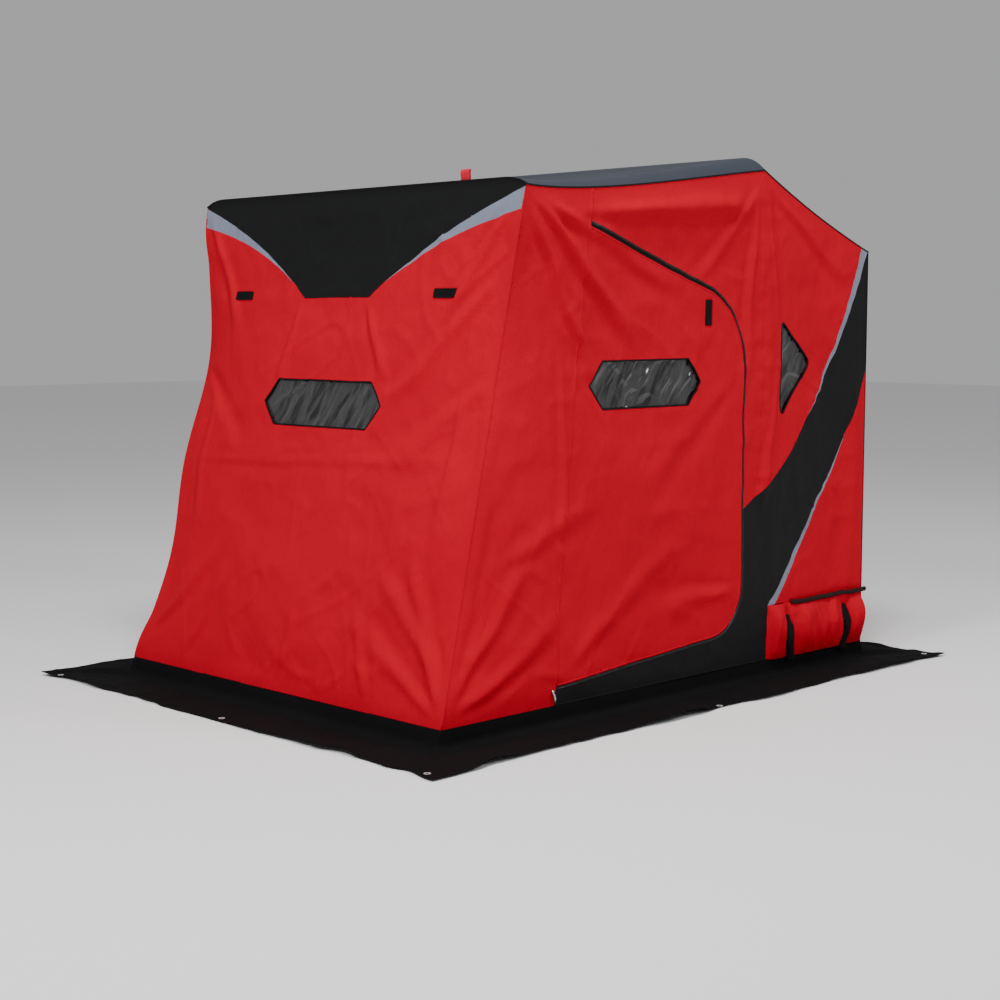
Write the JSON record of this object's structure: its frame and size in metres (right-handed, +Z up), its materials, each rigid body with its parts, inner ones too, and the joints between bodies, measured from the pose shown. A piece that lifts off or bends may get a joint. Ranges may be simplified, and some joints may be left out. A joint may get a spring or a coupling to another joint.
{
  "type": "ice fishing shelter",
  "caption": "Flip-over fabric ice fishing shelter on a moulded sled, with side doors that open, tinted windows and a ground skirt.",
  "frame": {"origin": "on the ground, at the centre of the skirt's outline", "axes": "+Z up, -Y out through the leaning front wall, +Y towards the sled, +X out through the right door"},
  "size_m": [2.37, 3, 2.085],
  "materials": {
    "red_fabric": "woven, quilted, red",
    "black_fabric": "woven, black",
    "roof_fabric": "coated weave, black with a soft sheen",
    "grey_fabric": "woven, blue grey",
    "skirt_fabric": "heavy coated weave, black",
    "vinyl": "smoke tinted, flexible, glossy",
    "webbing": "webbing, black",
    "zip": "zip tape, black",
    "poles": "powder coated steel tube",
    "fittings": "moulded nylon",
    "bracket_steel": "powder coated steel plate",
    "sled_plastic": "moulded polyethylene",
    "tag": "red webbing",
    "grommet_metal": "nickel plated"
  },
  "bodies": {
    "shelter": {"sled": "sled_plastic", "crossbars": "poles", "uprights": "poles", "side_rails": "poles", "corner_hubs": "fittings", "pivot_brackets": "bracket_steel", "front_wall": "red_fabric", "front_v_panel": "black_fabric", "front_accents": "grey_fabric", "front_window": "vinyl", "front_tabs": "webbing", "roof_panel": "roof_fabric", "rear_roof_panel": "roof_fabric", "roof_tag": "tag", "rear_wall": "red_fabric", "rear_top_panel": "black_fabric", "rear_window": "vinyl", "right_front_strip": "red_fabric", "right_header": "red_fabric", "right_rear_panel": "red_fabric", "right_band": "black_fabric", "left_front_strip": "red_fabric", "left_header": "red_fabric", "left_rear_panel": "red_fabric", "left_band": "black_fabric", "corner_panels": "red_fabric", "sled_flaps": "red_fabric", "quarter_windows": "vinyl", "side_accents": "grey_fabric", "flap_straps": "webbing", "side_hems": "skirt_fabric", "end_hems": "skirt_fabric", "front_skirt": "skirt_fabric", "rear_skirt": "skirt_fabric", "right_skirt": "skirt_fabric", "left_skirt": "skirt_fabric", "grommets": "grommet_metal"},
    "right_door": {"right_door": "red_fabric", "right_door_zip": "zip", "right_door_window": "vinyl", "right_door_tab": "webbing"},
    "left_door": {"left_door": "red_fabric", "left_door_zip": "zip", "left_door_window": "vinyl", "left_door_tab": "webbing"}
  },
  "joints": [
    {"name": "right_door_hinge", "type": "hinge", "parent": "shelter", "child": "right_door", "pos_m": [0.925, -0.666, 0.132], "axis": [0, -0.0987, -0.9951], "range_deg": [0, 160]},
    {"name": "left_door_hinge", "type": "hinge", "parent": "shelter", "child": "left_door", "pos_m": [-0.925, -0.666, 0.132], "axis": [0, 0.0987, 0.9951], "range_deg": [0, 160]}
  ]
}
